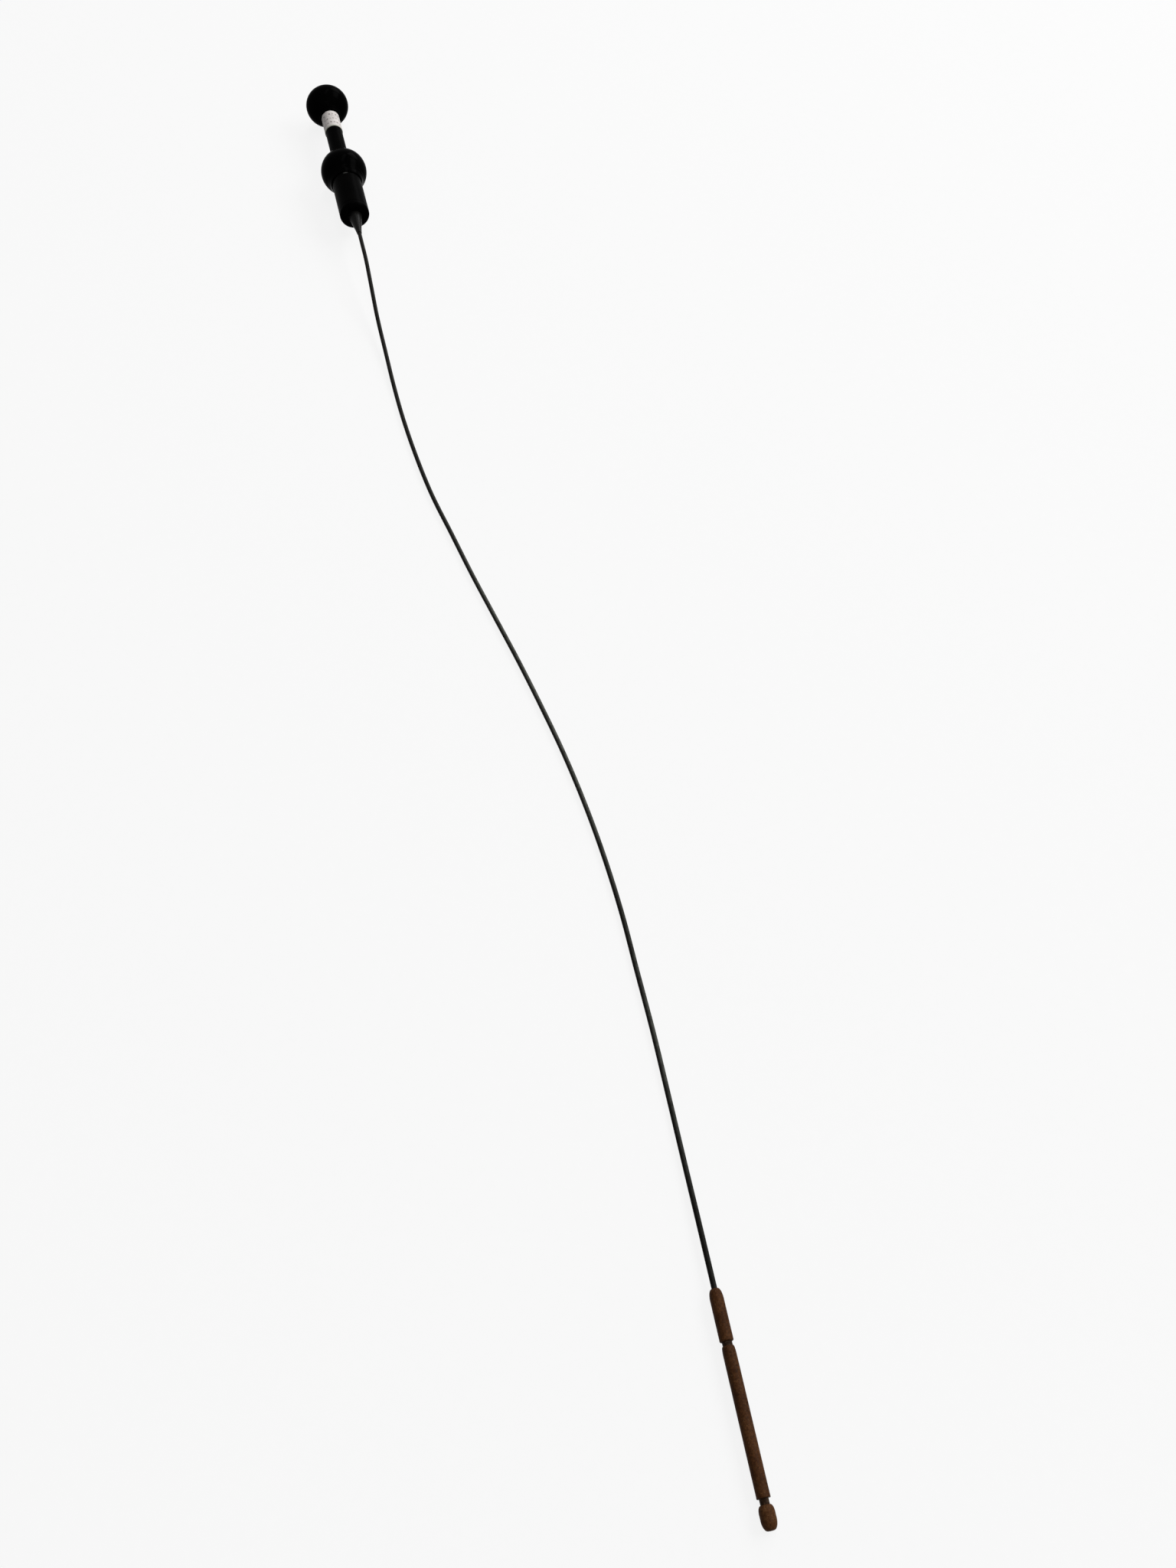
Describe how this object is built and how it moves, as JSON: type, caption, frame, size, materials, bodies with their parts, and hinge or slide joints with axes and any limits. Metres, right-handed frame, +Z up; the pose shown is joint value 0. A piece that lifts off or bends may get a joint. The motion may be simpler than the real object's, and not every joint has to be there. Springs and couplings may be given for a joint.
{
  "type": "cable shutter release",
  "caption": "Cable release with a thumb plunger, a round finger grip, a sprung barrel, a thin flexible cable and a swivelling camera fitting with a release pin.",
  "frame": {"origin": "on the table, under the middle of the handle, which runs from the back of the thumb knob to the tip of the strain relief", "axes": "+X along the handle from the thumb knob towards the cable, +Z up from the table, +Y level and to the side on which the cable lies at the camera end"},
  "size_m": [0.7, 0.0447, 0.0226],
  "materials": {
    "knob_black": "polished black, lightly scuffed",
    "handle_black": "satin black",
    "label_white": "off-white, slightly soiled",
    "relief_rubber": "matte black",
    "cable_sheath": "satin black sheath",
    "brown_brass": "dark brown oxidised, worn",
    "fitting_steel": "dull grey",
    "bright_steel": "drawn, bright",
    "inner_brass": "turned"
  },
  "bodies": {
    "handle": {"finger_ball": "knob_black", "guide_bush": "inner_brass", "barrel": "handle_black", "return_spring": "bright_steel", "spring_seat": "bright_steel", "end_cap": "handle_black", "cable_anchor": "inner_brass", "strain_relief": "relief_rubber", "cable": "cable_sheath", "ferrule": "brown_brass", "swivel_tube": "fitting_steel", "swivel_ring": "fitting_steel"},
    "plunger": {"thumb_knob": "knob_black", "label_sleeve": "label_white", "plunger_stem": "handle_black", "plunger_rod": "bright_steel", "plunger_stop": "inner_brass", "handle_wire": "bright_steel"},
    "camera_fitting": {"turning_sleeve": "brown_brass", "nose_stem": "fitting_steel", "camera_nose": "brown_brass"},
    "pin": {"release_pin": "fitting_steel", "pin_wire": "bright_steel"}
  },
  "joints": [
    {"name": "plunger_press", "type": "slide", "parent": "handle", "child": "plunger", "axis": [1, 0, 0], "range_m": [0, 0.01], "stiffness_N_per_m": 150, "springref_m": -0.008, "deforming": ["return_spring"]},
    {"name": "release_pin_slide", "type": "slide", "parent": "handle", "child": "pin", "axis": [0.9989, -0.0471, 0], "range_m": [0, 0.01]},
    {"name": "fitting_swivel", "type": "hinge", "parent": "handle", "child": "camera_fitting", "pos_m": [0.5743, 0.0275, 0.00245], "axis": [0.9989, -0.0471, 0], "continuous": true}
  ],
  "couplings": [
    {"joint": "release_pin_slide", "follows": "plunger_press", "ratio": 1}
  ]
}
